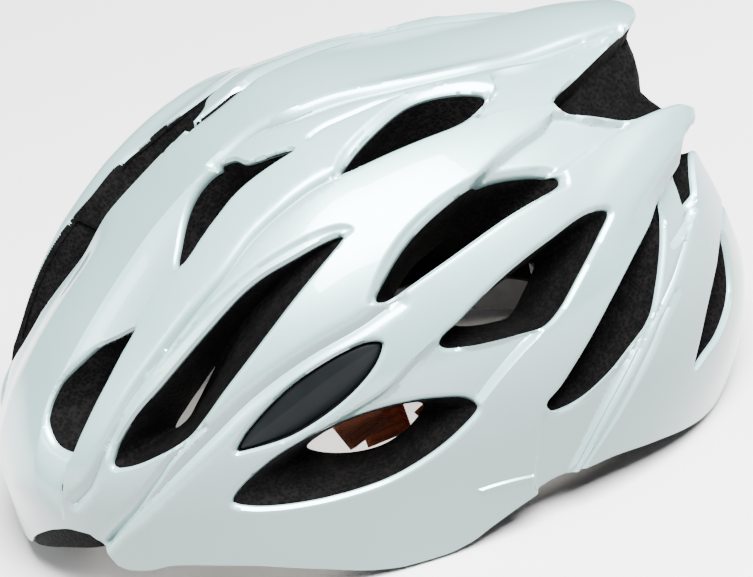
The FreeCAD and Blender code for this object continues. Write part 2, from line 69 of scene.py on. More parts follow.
def make_camera():
    """From the wearer's left, a little from above, rolled nose down."""
    azimuth, elevation, roll = (math.radians(a) for a in (80.6, 26.3, 13.2))
    back = Vector((math.sin(azimuth) * math.cos(elevation), -math.cos(azimuth) * math.cos(elevation),
                   math.sin(elevation)))
    level = Vector((math.cos(azimuth), math.sin(azimuth), 0))
    raised = back.cross(level)
    right = level * math.cos(roll) - raised * math.sin(roll)
    up = level * math.sin(roll) + raised * math.cos(roll)
    camera = bpy.data.cameras.new("camera")
    camera.sensor_width = 36.0
    camera.lens = 177.4
    camera.shift_x = 0.0405
    camera.shift_y = -0.0073
    camera.clip_end = 50
    holder = bpy.data.objects.new("camera", camera)
    bpy.context.scene.collection.objects.link(holder)
    aim = Vector((0, -0.00275, 0.0685))
    matrix = Matrix((right, up, back)).transposed().to_4x4()
    matrix.translation = aim + back * 1.4
    holder.matrix_world = matrix
    bpy.context.scene.camera = holder


# ------------------------------------------------------------------ the body's form

CROWN_LINE = [(-149, 2), (-146, 36), (-140, 54), (-126, 74), (-96, 103), (-69, 125), (-39, 143),
              (-11, 153), (17, 155.5), (57, 153.5), (92, 147.5), (122, 137.5), (133, 113.5),
              (142, 80.5), (148, 43.5)]

# Height of the lower edge by the angle round from the brow, for the foam and for the shell over it.
FOAM_RIM = [(0, 10.5), (6, 11.5), (12, 16), (18, 21), (23, 24), (26, 25.5), (27.5, 19), (29, 16.6),
            (33, 17), (38, 19.5), (48, 17.2), (60, 10.0), (71, 2.6), (77, 0.6), (85, 0.3), (91, 2.2),
            (96, 6.2), (104, 11.8), (112, 15.6), (121, 15.4), (132, 11.4), (142, 6.0), (148, 3.2),
            (158, 1.2), (180, 2.5)]
SHELL_RIM = [(0, 11.2), (4, 11.5), (6.5, 13), (9, 18), (12.5, 23.5), (17.5, 29.5), (21.5, 32), (24.5, 31.8),
             (26, 28.5), (27, 23), (28.2, 18.6), (30, 17.3), (33, 17.7), (38, 20.2), (48, 17.9), (60, 10.7),
             (71, 3.3), (77, 1.3), (85, 1.0), (91, 2.9), (96, 6.9), (104, 12.5), (112, 16.3), (121, 16.1),
             (132, 12.1), (142, 6.7), (148, 3.9), (158, 1.9), (180, 3.2)]


def curve(points):
    """Smooth curve through the points that never overshoots them."""
    xs = np.array([p[0] for p in points], float)
    ys = np.array([p[1] for p in points], float)
    rise = np.diff(ys) / np.diff(xs)
    slope = np.concatenate([[rise[0]], np.zeros(len(xs) - 2), [rise[-1]]])
    for k in range(1, len(xs) - 1):
        if rise[k - 1] * rise[k] > 0:
            slope[k] = 2 * rise[k - 1] * rise[k] / (rise[k - 1] + rise[k])

    def value(x):
        x = np.clip(x, xs[0], xs[-1])
        k = np.clip(np.searchsorted(xs, x) - 1, 0, len(xs) - 2)
        span = xs[k + 1] - xs[k]
        t = (x - xs[k]) / span
        start = (2 * t**3 - 3 * t**2 + 1) * ys[k] + (t**3 - 2 * t**2 + t) * span * slope[k]
        return start + (3 * t**2 - 2 * t**3) * ys[k + 1] + (t**3 - t**2) * span * slope[k + 1]
    return value


crown_height = curve(CROWN_LINE)


def inside_body(p):
    """Which of the places in space lie inside the plain body, before any relief."""
    x, y, z = np.abs(p[..., 0]), p[..., 1], p[..., 2]
    drop = np.clip((WAIST - z) / 52.0, 0, None)
    y = np.where(y > 0, y / (1 - 0.13 * drop**2.2), y / (1 - 0.02 * drop**2))
    x = x / (1 - 0.07 * drop**2)
    reach = np.where(y > 0, REAR_REACH, FRONT_REACH)
    width = HALF_WIDTH * np.clip(1 - (np.abs(y) / reach)**2.35, 0, None)**(1 / 2.1)
    crown = crown_height(y)
    square = 2.3 + 0.5 * np.clip(-y / 70, 0, 1) - 0.2 * np.clip(y / 100, 0, 1)
    fill = np.clip(1 - (x / np.maximum(width, 1e-6))**square, 0, None)**(1 / square)
    top = FLAT_BELOW + (crown - FLAT_BELOW) * fill
    return (np.abs(y) < reach) & (x < width) & ((z <= FLAT_BELOW) | ((z < crown) & (z <= top)))


def direction(uv):
    """Unit vector from CENTRE towards each place on the flat map."""
    tilt = np.radians(np.hypot(uv[..., 0], uv[..., 1]))
    turn = np.arctan2(uv[..., 0], -uv[..., 1])
    return np.stack([np.sin(turn) * np.sin(tilt), -np.cos(turn) * np.sin(tilt), np.cos(tilt)], -1)


def body_radius(uv):
    """Distance from CENTRE to the plain body in each direction."""
    ray = direction(uv)
    low = np.full(ray.shape[:-1], 20.0)
    high = np.full(ray.shape[:-1], 230.0)
    for _ in range(26):
        half = (low + high) / 2
        hit = inside_body(CENTRE + ray * half[..., None])
        low = np.where(hit, half, low)
        high = np.where(hit, high, half)
    return (low + high) / 2


def body_point(uv):
    """Place in space on the plain body."""
    return CENTRE + direction(uv) * body_radius(uv)[..., None]


def rim_loop(heights, count=720):
    """Outline of the lower edge on the dome map."""
    height = curve(heights)
    turn = np.radians(np.arange(count) * 360.0 / count - 180.0)
    aim = height(np.abs(np.degrees(turn)))
    low = np.full(count, 60.0)
    high = np.full(count, 140.0)
    for _ in range(26):
        half = (low + high) / 2
        uv = np.stack([half * np.sin(turn), -half * np.cos(turn)], -1)
        above = body_point(uv)[:, 2] > aim
        low = np.where(above, half, low)
        high = np.where(above, high, half)
    return np.stack([low * np.sin(turn), -low * np.cos(turn)], -1)


# ------------------------------------------------------------------ openings and relief, left-hand side

VENTS = {
    "brow_inner": [(30.6, -71.7), (30, -60.9), (28.6, -54), (27.4, -49.6), (25.3, -50.6), (22.8, -53.1),
                   (20.4, -56.7), (18, -60.2), (17, -64), (16.4, -68.6), (17.2, -72), (19.5, -74.2),
                   (23, -75.3), (27, -74.6), (29.8, -73.2)],
    "crown_inner": [(19.6, -9.3), (20.6, -20.4), (23.2, -28.1), (25.9, -36.6), (24.5, -39.3),
                    (22.4, -39.8), (20, -39.5), (17.3, -37.5), (14.2, -34.5), (12, -31), (10.8, -26.6),
                    (10.9, -22.2), (12.6, -19.3), (15.9, -17.6), (18.5, -12)],
    "brow_outer": [(39.5, -7.7), (39.2, -18.3), (39.1, -26.8), (40.5, -39.6), (40.5, -50.4),
                   (39.4, -58.8), (39.4, -65.8), (40.5, -67.2), (42.9, -65.6), (46.7, -60.9),
                   (50.8, -51.9), (50.3, -39.3), (47, -24.9)],
    "crown_outer": [(28.2, -3.5), (25.9, -1), (21.8, 5), (17.5, 12.6), (16.7, 18), (17.3, 22.7),
                    (18.5, 25.1), (20.5, 24.3), (23.9, 20.2), (26.2, 11.7), (28.4, -2)],
    "upper_side": [(52.1, -6.3), (47.8, -1.6), (43.8, 4), (39.8, 11.2), (35.8, 19.8), (34.4, 27.2),
                   (34.4, 33.4), (35.6, 34.5), (43.1, 21.9), (49.2, 8.4), (52.7, -4.7)],
    "lower_side": [(64.5, -54.9), (65, -44.6), (66.7, -34.2), (69.1, -21.6), (71.3, -9.1), (73.1, 1.1),
                   (74.8, 9), (76.5, 10.8), (80.5, 4.7), (83.6, -5.4), (84.2, -18.6), (80.6, -33),
                   (74.3, -45.1), (67.9, -52.8)],
    "mid_side": [(39.4, 43), (43.7, 41.4), (51.4, 37.2), (58.1, 32.9), (61.3, 29.4), (62.6, 25.4),
                 (63.9, 18.4), (64.4, 11), (63.6, 5.2), (62.3, 4.5), (59.4, 10), (53.1, 20.1),
                 (46, 31.2), (40.3, 39.4)],
    "rear_side": [(33.9, 53.3), (38.8, 51.9), (45.4, 49), (54.1, 44.9), (63.5, 39.9), (72.2, 34),
                  (76.7, 30), (77.8, 32.2), (75.3, 38.8), (69.9, 45.2), (62.2, 50.8), (54.4, 55.3),
                  (47.8, 55.7), (39.1, 54.9)],
    "tail_side": [(26.8, 71.6), (35.7, 70.9), (47.2, 70.8), (55.4, 72.2), (50.6, 74.6), (43.7, 77.5),
                  (34.1, 78.3), (29.5, 75.7)],
}
SCOOP = [(0, 49.2), (5, 47.8), (8.5, 45.4), (14, 41), (21.3, 35.3), (23, 36.6), (23.2, 41), (22.6, 47),
         (20.4, 50.8), (18.2, 54), (16.8, 57), (18.6, 57.6), (20.6, 56.4), (23.4, 55.4), (26.4, 56),
         (28.8, 58.2), (30.8, 60.4), (28.4, 60.9), (25, 60), (21, 60), (17.5, 62), (12, 64.4), (0, 66)]
INLAY = [(59.3, -8.2), (58.1, -11), (57.7, -16.2), (57.6, -22.5), (57.6, -29.4), (58, -37),
         (58.6, -43.9), (59.3, -46.4), (61.1, -43.8), (64.7, -35.1), (65.7, -24.7), (64.4, -16.1),
         (61.8, -10.3)]

# The channel beside the centre rib: it falls away from the rib and ends at the wall of the second rib.
CENTRE_RIB_EDGE = [(23, -84), (20, -77), (17, -70), (15, -63), (13, -54), (11.6, -44), (10.6, -38), (10, -31),
                   (9.6, -22)]
NUB_END = [(9.6, -22), (12, -21.4), (15.2, -19.6), (17.8, -15.6), (19.2, -11)]
SECOND_RIB_WALL = [(19.2, -11), (19.9, -20.4), (22.9, -28.1), (25.5, -37.2), (26, -44.3), (27.2, -49.4),
                   (29.7, -60.9), (30.4, -71.7), (30.8, -77), (31, -84)]

# Areas that lie lower than the ribs round them: outline, depth in mm, width of the step in mm.
SUNK = {
    "brow_outer_lip": ([(37.6, -66), (36.9, -58), (37.4, -42), (36.6, -20), (37.6, -6.5), (39.3, -5),
                        (41, -12), (42, -40), (41, -67)], 1.4, 2.6),
    "crown_outer_lip": ([(29.6, -6), (24.6, -2.5), (19.6, 5), (15.6, 12.6), (14.9, 18), (15.9, 24),
                         (18, 27.2), (21, 25.5), (20.5, 12), (28, 0)], 1.5, 2.6),
    "upper_side_lip": ([(52.4, -8.4), (46.6, -3.2), (42, 3), (38, 10.6), (34.6, 19), (33, 26.8), (33, 34.4),
                        (36.4, 35.5), (40, 26), (44, 10), (52, -3)], 1.2, 2.4),
    "crown_facet": ([(14.6, 26.6), (12.4, 34.7), (7.2, 45.2), (14, 41.4), (21.3, 35.6), (22.9, 27.6),
                     (24, 21.6), (19, 25.4), (17.6, 26.4)], 2.2, 2.2),
    "tail_facet": ([(36.2, 18.6), (30.5, 25.7), (26, 32.2), (23.2, 34.9), (23.4, 41), (22.9, 47.6),
                    (27.5, 42.9), (33.9, 35.2), (36.4, 30), (38, 22)], 3.2, 2.6),
    "flank": ([(63, -55.6), (66.1, -36), (67.4, -24), (67, -11), (63.3, -1), (61.8, 4), (63.8, 11),
               (63.4, 18.4), (61.8, 27), (62.2, 28.6), (66.2, 24), (70.6, 18.4), (75.3, 12.4), (76.8, 10.6),
               (75, 4), (72.5, -9), (70.2, -22), (67.5, -36)], 3.2, 2.6),
    "rear_strip": ([(54.4, 55.8), (61.7, 53.4), (74, 48.4), (87.5, 42.5), (97, 37), (96, 27), (84, 27.6),
                    (78, 28.4), (76.8, 34), (73, 41), (66, 48), (60, 52)], 2.4, 2.4),
    "under_wing": ([(33.6, 53.4), (27, 55.6), (20, 57.6), (23, 58.2), (27, 59.8), (30, 62), (37, 60),
                    (41, 57), (38, 55.4)], 3.0, 2.2),
}

# Narrow valleys: line, depth in mm, half width in mm.
VALLEYS = {
    "second_rib": ([(33.7, -79), (36.8, -73.6), (37.4, -66), (37, -58), (36.6, -45), (35, -32), (31.6, -22),
                    (29.2, -10.8), (28.4, -5)], 2.2, 3.2),
    "beak_inner": ([(41.6, -82.5), (47.1, -72.3), (49.6, -63.5), (50.3, -58.3), (52, -48)], 1.8, 2.2),
    "beak_outer": ([(41.6, -82.5), (48, -71.6), (51.9, -60.7), (54.2, -49.1), (54.9, -37.4), (55.3, -23.7),
                    (55.2, -11.9), (53.3, -2)], 2.2, 4.6),
    "thin_rib": ([(18.4, -6), (17.2, -2.5), (16.6, 3.6), (14.9, 13), (14.2, 19)], 1.0, 1.8),
    "third_rib": ([(36, 18.7), (30.5, 25.7), (26, 32.2), (23.6, 34.9)], 1.0, 2.2),
    "rear_bead": ([(30.4, 62), (33.2, 61.1), (45, 59.1), (54.4, 55.9), (61.7, 53.4), (74, 48.4), (87.5, 42.5),
                   (95, 37.6)], 1.2, 1.6),
    "rear_bead_back": ([(47, 60.3), (54.2, 58), (60.3, 56.4), (73.4, 51.6), (83.4, 46.6), (94, 41)],
                       1.1, 1.7),
    "tail_crease": ([(26.8, 71.6), (17.9, 72.3), (11, 72)], 1.2, 2.0),
}
SPINE_GROOVE = [(9.6, -23), (9.1, -15.8), (10.1, -7.4), (10.6, 0.5), (11.8, 12.5), (11.2, 26.4), (8.5, 39.5),
                (6.4, 46)]
EMBOSSED = [(94.8, 8), (93.8, 17), (92.6, 25.8)]


def closed_spline(points, step=0.35):
    """Rounded closed loop through the points, evenly sampled."""
    p = np.array(points, float)
    n = len(p)
    t = np.linspace(0, 1, 24, endpoint=False)[:, None]
    pieces = []
    for k in range(n):
        a, b, c, d = p[k - 1], p[k], p[(k + 1) % n], p[(k + 2) % n]
        ab, bc, cd = (max(np.linalg.norm(q), 1e-6)**0.5 for q in (b - a, c - b, d - c))
        mb = ((b - a) / ab - (c - a) / (ab + bc) + (c - b) / bc) * bc
        mc = ((c - b) / bc - (d - b) / (bc + cd) + (d - c) / cd) * bc
        pieces.append((2 * t**3 - 3 * t**2 + 1) * b + (t**3 - 2 * t**2 + t) * mb
                      + (3 * t**2 - 2 * t**3) * c + (t**3 - t**2) * mc)
    return resample(np.vstack(pieces), step, True)


def open_spline(points, step=0.35):
    """Smooth line through the points, evenly sampled."""
    p = np.array(points, float)
    p = np.vstack([2 * p[0] - p[1], p, 2 * p[-1] - p[-2]])
    t = np.linspace(0, 1, 24, endpoint=False)[:, None]
    pieces = []
    for k in range(1, len(p) - 2):
        a, b, c, d = p[k - 1], p[k], p[k + 1], p[k + 2]
        pieces.append(0.5 * (2 * b + (c - a) * t + (2 * a - 5 * b + 4 * c - d) * t**2
                             + (3 * b - a - 3 * c + d) * t**3))
    return resample(np.vstack(pieces + [p[-2:-1]]), step, False)


def resample(p, step, closed):
    """The same line with its points about one step apart."""
    if closed:
        p = np.vstack([p, p[:1]])
    run = np.concatenate([[0], np.cumsum(np.linalg.norm(np.diff(p, axis=0), axis=1))])
    count = max(4, int(round(run[-1] / step)))
    at = np.linspace(0, run[-1], count, endpoint=False) if closed else np.linspace(0, run[-1], count)
    return np.stack([np.interp(at, run, p[:, k]) for k in range(2)], -1)


def mirror(p):
    """The same line on the other side of the helmet."""
    return (np.array(p, float) * [-1, 1])[::-1]


def inside_loop(points, loop):
    """Which of the points lie inside a closed loop."""
    hit = np.zeros(len(points), bool)
    low, high = loop.min(0), loop.max(0)
    near = np.flatnonzero(((points >= low) & (points <= high)).all(1))
    if not len(near):
        return hit
    x, y = points[near, 0], points[near, 1]
    odd = np.zeros(len(near), bool)
    for a, b in zip(loop, np.roll(loop, -1, axis=0)):
        crosses = (a[1] > y) != (b[1] > y)
        if crosses.any():
            odd ^= crosses & (x < (b[0] - a[0]) * (y - a[1]) / (b[1] - a[1] + 1e-12) + a[0])
    hit[near] = odd
    return hit


def distance_to(uv, points, line, closed, limit=9.0):
    """Distance in mm over the body from each place to a line; far places get limit."""
    result = np.full(len(uv), limit)
    low, high = line.min(0) - 7, line.max(0) + 7
    near = np.flatnonzero(((uv >= low) & (uv <= high)).all(1))
    if not len(near):
        return result
    edge = body_point(line)
    follow = np.roll(edge, -1, axis=0) if closed else edge[1:]
    starts = edge if closed else edge[:-1]
    along = follow - starts
    size = np.maximum((along**2).sum(1), 1e-9)
    for part in np.array_split(near, max(1, len(near) // 4000)):
        gap = points[part][:, None, :] - starts[None]
        t = np.clip((gap * along[None]).sum(2) / size, 0, 1)
        away = gap - along[None] * t[..., None]
        result[part] = np.minimum(np.sqrt((away**2).sum(2).min(1)), limit)
    return result


def ease(t):
    """Rises smoothly from 0 to 1 while t goes from 0 to 1."""
    t = np.clip(t, 0, 1)
    return t * t * (3 - 2 * t)


LIP = 1.7                           # width of the rounded edge of an opening, mm
CHANNEL_DEPTH, CHANNEL_FALL = 9.2, 9.0
CHANNEL_WALL = 1.2                  # width of the channel's steep wall, mm
GROOVE_DEPTH, GROOVE_EXTRA = 3.0, 2.6
EMBOSSED_HEIGHT = 1.0
CROWN_DIP, TAIL_RISE, WING_RISE = 3.6, 7.5, 7.0
WING_ROOT = np.array([45, 40])
WING_RUN = np.array([-29, 17])      # from the wing's root to its tip, degrees
RIGHT_FLANK_RISE, RIGHT_RIB_DROP = 4.6, 2.8
BACK_HOLLOW = 9.0


def channel_outline():
    """The channel's floor: along the centre rib, round the nub and back along the second rib's wall."""
    edge = open_spline(CENTRE_RIB_EDGE)
    return np.vstack([edge, open_spline(NUB_END)[1:], open_spline(SECOND_RIB_WALL)[1:]])


def distance_to_wall(folded, points):
    """Distance in mm to the steep wall that ends the channel."""
    return np.minimum(distance_to(folded, points, open_spline(SECOND_RIB_WALL), False),
                      distance_to(folded, points, open_spline(NUB_END), False))


def relief(uv):
    """Height of the finished shell above the plain body, in mm."""
    folded = np.stack([np.abs(uv[:, 0]), uv[:, 1]], -1)
    points = body_point(folded)
    side, rear = folded[:, 0], folded[:, 1]
    height = np.zeros(len(uv))

    # channel beside the centre rib
    loop = channel_outline()
    inside = inside_loop(folded, loop)
    fall = distance_to(folded, points, open_spline(CENTRE_RIB_EDGE), False, 40.0)
    wall = distance_to_wall(folded, points)
    depth = CHANNEL_DEPTH * (1 - np.exp(-fall / CHANNEL_FALL))
    depth *= ease((rear + 85) / 15) * np.clip(wall / CHANNEL_WALL, 0, 1)
    height -= np.where(inside, depth, 0)

    for outline, depth, width in SUNK.values():
        loop = closed_spline(outline)
        away = distance_to(folded, points, loop, True)
        height -= np.where(inside_loop(folded, loop), depth * ease(away / width), 0)
    for line, depth, width in VALLEYS.values():
        away = distance_to(folded, points, open_spline(line), False)
        height -= depth * np.clip(1 - away / width, 0, 1)**1.6

    # groove between the centre rib and the second rib: steep towards the middle, gentle outwards
    line = open_spline(SPINE_GROOVE)
    away = distance_to(folded, points, line, False, 12.0)
    inner = side < np.interp(rear, line[:, 1], line[:, 0])
    start = ease((-4 - rear) / 10)
    outer_width = 8.5 - 6.3 * start
    width = np.where(inner, 2.6 + start, outer_width)
    height -= (GROOVE_DEPTH + GROOVE_EXTRA * start) * np.clip(1 - away / width, 0, 1)**1.3

    # short embossed bar low on the side
    away = distance_to(folded, points, open_spline(EMBOSSED), False)
    height += EMBOSSED_HEIGHT * ease((1.3 - away) / 0.8)

    # the centre rib dips behind the crown and kicks up into a tail; the wing tips stand out a little
    dip = ease((rear + 2) / 22) * ease((42 - rear) / 14)
    tail = np.clip((rear - 30) / 19, 0, 1.1)**1.7
    height += (TAIL_RISE * tail - CROWN_DIP * dip) * ease((13 - side) / 6) * ease((58 - rear) / 6)
    run = math.hypot(*WING_RUN)
    along = (folded - WING_ROOT) @ WING_RUN / run**2
    across = (folded - WING_ROOT) @ (WING_RUN[::-1] * [1, -1]) / run
    wing = np.clip(along, 0, 1)**1.6 * ease((6 - np.abs(across)) / 4)
    height += WING_RISE * wing * ease((59.6 - rear) / 1.4)

    # on the right the crown's flank is fuller than on the left, and the centre rib rolls off
    far = ease((-uv[:, 0] - 23.5) / 8) * ease((50 + uv[:, 0]) / 12)
    height += RIGHT_FLANK_RISE * far * ease((rear + 72) / 22) * ease((2 - rear) / 22)
    roll = ease((-uv[:, 0] - 3) / 10) * ease((23 + uv[:, 0]) / 2)
    height -= RIGHT_RIB_DROP * roll * ease((-44 - rear) / 12) * ease((rear + 88) / 8)

    # hollow down the middle of the back, between the two bands that come from the wing tips
    hollow = ease((20 - side) / 4) * ease((rear - 56.5) / 4) * ease((86 - rear) / 16)
    height -= BACK_HOLLOW * hollow

    # rounded lips round every opening
    for line in [closed_spline(outline) for outline in list(VENTS.values()) + [INLAY]] + [scoop_loop()]:
        away = distance_to(folded, points, line, True)
        roll = np.clip(1 - away / LIP, 0, 1)
        height -= LIP * 0.9 * (1 - np.sqrt(1 - roll**2 * 0.98))
    return height


# ------------------------------------------------------------------ mesh making

def crowded(p, taken, i, j, reach, spacing):
    """True when a kept point in the cells round (i, j) is nearer than spacing."""
    for a in range(i - reach, i + reach + 1):
        for b in range(j - reach, j + reach + 1):
            for q in taken.get((a, b), ()):
                if (q[0] - p[0])**2 + (q[1] - p[1])**2 < spacing * spacing:
                    return True
    return False


def thin_out(groups):
    """Keeps each point only if no earlier one is too near. groups: (points, own spacing, always keep)."""
    cell = 0.5
    taken = {}
    kept = []
    for points, spacing, always in groups:
        reach = int(math.ceil(spacing / cell))
        for p in points:
            i, j = int(math.floor(p[0] / cell)), int(math.floor(p[1] / cell))
            if not always and crowded(p, taken, i, j, reach, spacing):
                continue
            taken.setdefault((i, j), []).append(p)
            kept.append(p)
    return np.array(kept)


def rows_beside(line, offsets, closed):
    """Rows of points beside a line, at offsets in degrees; positive is outside a closed loop."""
    ahead = np.roll(line, -1, axis=0) - np.roll(line, 1, axis=0)
    if not closed:
        ahead[0], ahead[-1] = line[1] - line[0], line[-1] - line[-2]
    normal = np.stack([ahead[:, 1], -ahead[:, 0]], -1)
    normal /= np.maximum(np.linalg.norm(normal, axis=1), 1e-9)[:, None]
    if closed:
        area = (line[:, 0] * np.roll(line[:, 1], -1) - np.roll(line[:, 0], -1) * line[:, 1]).sum()
        normal *= 1 if area > 0 else -1
    return [line + normal * offset for offset in offsets]


def hex_grid(spacing, reach=128.0):
    """Even field of points, each shifted by a hair so that no four lie on one circle."""
    rows = np.arange(-reach, reach, spacing * 0.866)
    grid = []
    for k, y in enumerate(rows):
        x = np.arange(-reach, reach, spacing) + (spacing / 2 if k % 2 else 0)
        grid.append(np.stack([x, np.full(len(x), y)], -1))
    grid = np.vstack(grid)
    wobble = np.stack([np.sin(grid[:, 1] * 12.9898 + grid[:, 0] * 4.1), np.cos(grid[:, 0] * 78.233)], -1)
    return grid + wobble * 1e-3


def triangulate(rim, holes, features, spacing, fine):
    """Triangles on the dome map inside rim and outside holes, finer beside the features."""
    always = [rim] + holes
    groups = [(loop, 0.0, True) for loop in always]
    for line, closed, offsets in features:
        for row in rows_beside(line, offsets, closed):
            groups.append((row, fine * 0.62, False))
    coarse = hex_grid(spacing)
    span = np.hypot(coarse[:, 0], coarse[:, 1])
    groups.append((coarse[span < np.hypot(rim[:, 0], rim[:, 1]).max()], spacing * 0.62, False))
    points = thin_out(groups)
    edges = []
    start = 0
    for loop in always:
        edges += [(start + k, start + (k + 1) % len(loop)) for k in range(len(loop))]
        start += len(loop)
    flat, _, faces, _, _, _ = delaunay_2d_cdt([Vector(p) for p in points], edges, [], 0, 1e-7)
    uv = np.array([tuple(p) for p in flat])
    faces = np.array([tuple(f) for f in faces])
    middle = uv[faces].mean(1)
    keep = inside_loop(middle, rim)
    for hole in holes:
        keep &= ~inside_loop(middle, hole)
    faces = faces[keep]
    used = np.unique(faces)
    renumber = np.full(len(uv), -1)
    renumber[used] = np.arange(len(used))
    return uv[used], renumber[faces]


def border(faces):
    """Directed edges that belong to one triangle only."""
    edges = np.vstack([faces[:, [0, 1]], faces[:, [1, 2]], faces[:, [2, 0]]])
    key = {}
    for a, b in edges.tolist():
        if (b, a) in key:
            del key[(b, a)]
        else:
            key[(a, b)] = True
    return np.array(list(key))


def slab(faces, layers):
    """Closed solid from a stack of same-shaped layers: first is the outside, last the inside."""
    count = len(layers[0])
    edge = border(faces)
    ring = np.unique(edge)
    verts = [layers[0]]
    faces_out = [tuple(f) for f in faces]
    ids = [np.arange(count)]
    total = count
    for layer in layers[1:-1]:
        index = np.full(count, -1)
        index[ring] = total + np.arange(len(ring))
        verts.append(layer[ring])
        ids.append(index)
        total += len(ring)
    ids.append(total + np.arange(count))
    verts.append(layers[-1])
    faces_out += [(total + f[2], total + f[1], total + f[0]) for f in faces.tolist()]
    for upper, lower in zip(ids[:-1], ids[1:]):
        for a, b in edge.tolist():
            faces_out.append((upper[b], upper[a], lower[a], lower[b]))
    return np.vstack(verts), faces_out


def make_object(name, verts, faces, sharp=38.0):
    """Object from points in millimetres; edges that turn more than sharp degrees stay crisp."""
    mesh = bpy.data.meshes.new(name)
    mesh.from_pydata((verts / 1000.0).tolist(), [], [tuple(int(i) for i in f) for f in faces])
    mesh.validate()
    mesh.update()
    mesh.polygons.foreach_set("use_smooth", [True] * len(mesh.polygons))
    mesh.set_sharp_from_angle(angle=math.radians(sharp))
    obj = bpy.data.objects.new(name, mesh)
    bpy.context.scene.collection.objects.link(obj)
    return obj


def both(loops):
    """Each line and its mirror image."""
    return [loop for one in loops for loop in (one, mirror(one))]


def scoop_loop():
    """The scoop's whole outline, from its left half."""
    full = SCOOP + [(-u, v) for u, v in SCOOP[-2:0:-1]]
    return closed_spline(full)


def feature_lines():
    """Lines of the relief, with how far beside each the mesh gets rows, in degrees."""
    lines = []
    for outline, _, _ in SUNK.values():
        lines += [(loop, True, (0, -0.45, -0.9, -1.4, 0.4)) for loop in both([closed_spline(outline)])]
    creases = [(line, (0, 0.4, -0.4, 0.9, -0.9, 1.5, -1.5)) for line, _, _ in VALLEYS.values()]
    creases.append((SPINE_GROOVE, (0, 0.4, -0.4, 0.8, -0.8, 1.3, -1.3, 2, -2)))
    creases.append((EMBOSSED, (0, 0.3, -0.3, 0.6, -0.6)))
    creases.append((CENTRE_RIB_EDGE, (0, 0.5, -0.5, 1.0, -1.0)))
    for line, offsets in creases:
        lines += [(loop, False, offsets) for loop in both([open_spline(line)])]
    return lines


SHADE_STRIP_FRONT = -79            # the painted shade (black foam material on the shell) starts here, degrees towards the rear
SHADE_STRIP_WIDTH = 3.4            # width of the strip of painted shade beside the second rib's wall, mm
SHADE_STRIP_EDGE = 1.3             # how far it reaches round the wall's end and, on the right, past the wall


def painted_shade_faces(middle):
    """Which faces of the skin get the black foam material as painted shade: the channel's wall, and a thin
    line down the spine groove.
    """
    side, rear = np.abs(middle[:, 0]), middle[:, 1]
    right = middle[:, 0] < 0
    folded = np.stack([side, rear], -1)
    place = body_point(folded)
    from_rib = distance_to(folded, place, open_spline(CENTRE_RIB_EDGE), False, 40.0)
    from_wall = distance_to(folded, place, open_spline(SECOND_RIB_WALL), False)
    # painted shade: shell faces on the channel's wall are drawn with the black foam material where the wall
    # lies in shade
    painted_dark = inside_loop(folded, channel_outline())
    painted_dark &= (from_wall < SHADE_STRIP_WIDTH) | (distance_to_wall(folded, place) < SHADE_STRIP_EDGE)
    painted_dark |= right & (from_wall < SHADE_STRIP_EDGE) & (rear < -13)
    painted_dark &= (rear > SHADE_STRIP_FRONT) & (from_rib > np.where(right, 2.0, 3.5))
    # painted shadow: a thin black line down the spine groove, where the groove lies in shadow
    groove = open_spline(SPINE_GROOVE)
    beside = side > np.interp(rear, groove[:, 1], groove[:, 0])
    return painted_dark | beside & (distance_to(folded, place, groove, False) < 1.5) & (rear > -22) & (rear < -3)


def build_shell():
    """The shell skin with every opening cut through it."""
    vents = both([closed_spline(v) for v in VENTS.values()] + [closed_spline(INLAY)]) + [scoop_loop()]
    rim = rim_loop(SHELL_RIM, 900)
    features = []
    for wall in both([open_spline(NUB_END, 0.25)]) + both([open_spline(SECOND_RIB_WALL, 0.25)]):
        features.append((wall, False, (0, 0.27, -0.27, 0.54, -0.54, 0.8, -0.8)))
    features += [(loop, True, (0.22, 0.5, 0.85, 1.3)) for loop in vents]
    features += feature_lines()
    features.append((rim, True, (-0.25, -0.6)))
    uv, faces = triangulate(rim, vents, features, SHELL_SPACING, SHELL_FINE)
    height = relief(uv)
    outer_radius = body_radius(uv) + height
    ray = direction(uv)
    layers = [CENTRE + ray * (outer_radius - t)[:, None] for t in (0, SHELL_WALL / 2, SHELL_WALL)]
    verts, solid = slab(orient(uv, faces), layers)
    shell = make_object("shell_skin", verts, solid)
    # painted shade: material index 1 puts the black foam material on the shaded channel wall and spine groove
    shade_strip_index = np.zeros(len(solid), dtype=np.int32)
    shade_strip_index[:len(faces)] = painted_shade_faces(uv[faces].mean(1))
    # the faces through the shell's thickness come last; those at the wall get the painted shade too
    wall_line = open_spline(SECOND_RIB_WALL)
    for k in range(2 * len(faces), len(solid)):
        side, rear = uv[np.array(solid[k]) % len(uv)].mean(0)
        if SHADE_STRIP_FRONT < rear < -10:
            shade_strip_index[k] = np.hypot(wall_line[:, 0] - abs(side), wall_line[:, 1] - rear).min() < 1.6
    shell.data.polygons.foreach_set("material_index", shade_strip_index)
    return shell


def orient(uv, faces):
    """Turns every triangle so that its front faces outwards."""
    a, b, c = (uv[faces[:, k]] for k in range(3))
    turn = (b - a)[:, 0] * (c - a)[:, 1] - (b - a)[:, 1] * (c - a)[:, 0]
    flipped = faces.copy()
    wrong = turn < 0
    flipped[wrong] = flipped[wrong][:, ::-1]
    return flipped


def cavity_radius(uv):
    """Distance from CENTRE to the hollow for the head."""
    full = np.array([HALF_WIDTH, FRONT_REACH, TOP_HEIGHT - CENTRE[2]])
    share = (full - [LINER_SIDE, LINER_FRONT, LINER_TOP]) / full
    ray = direction(uv)
    stretched = ray / share
    size = np.linalg.norm(stretched, axis=-1)
    unit = stretched / size[..., None]
    tilt = np.degrees(np.arccos(np.clip(unit[..., 2], -1, 1)))
    turn = np.arctan2(unit[..., 0], -unit[..., 1])
    aim = np.stack([tilt * np.sin(turn), -tilt * np.cos(turn)], -1)
    return body_radius(aim) / size


